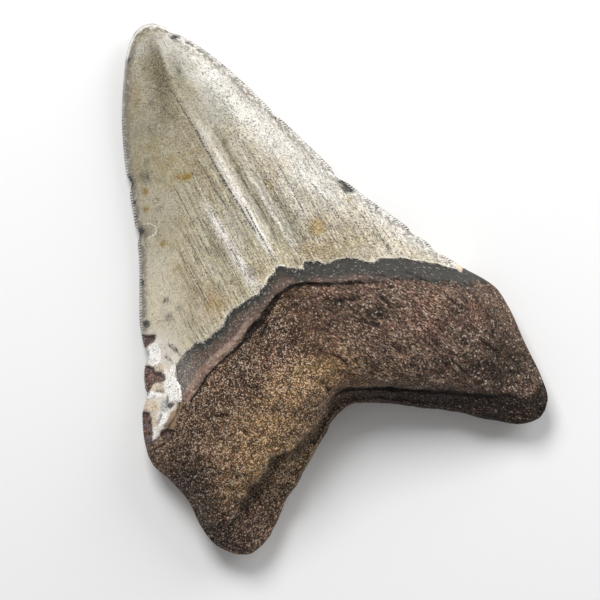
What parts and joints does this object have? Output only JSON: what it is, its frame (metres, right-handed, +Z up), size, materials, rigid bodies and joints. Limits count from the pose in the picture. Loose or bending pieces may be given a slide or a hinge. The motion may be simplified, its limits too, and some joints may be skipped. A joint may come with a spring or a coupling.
{
  "type": "fossil megalodon tooth",
  "caption": "Large triangular fossil shark tooth, grey serrated crown over a dark band and a brown two-lobed bony root, lying with its inner face up.",
  "frame": {"origin": "on the surface it lies on, under the middle of the tooth's box", "axes": "+X across the tooth, +Y from the root to the tip of the crown, +Z up, out of the lingual (inner) face"},
  "size_m": [0.0854, 0.1167, 0.0232],
  "materials": {
    "fossil": "semi-gloss grey-olive enamel with fine lengthwise cracks, satin charcoal bourlette, matt grainy brown root"
  },
  "bodies": {
    "root": {"tooth": "fossil"}
  },
  "joints": []
}
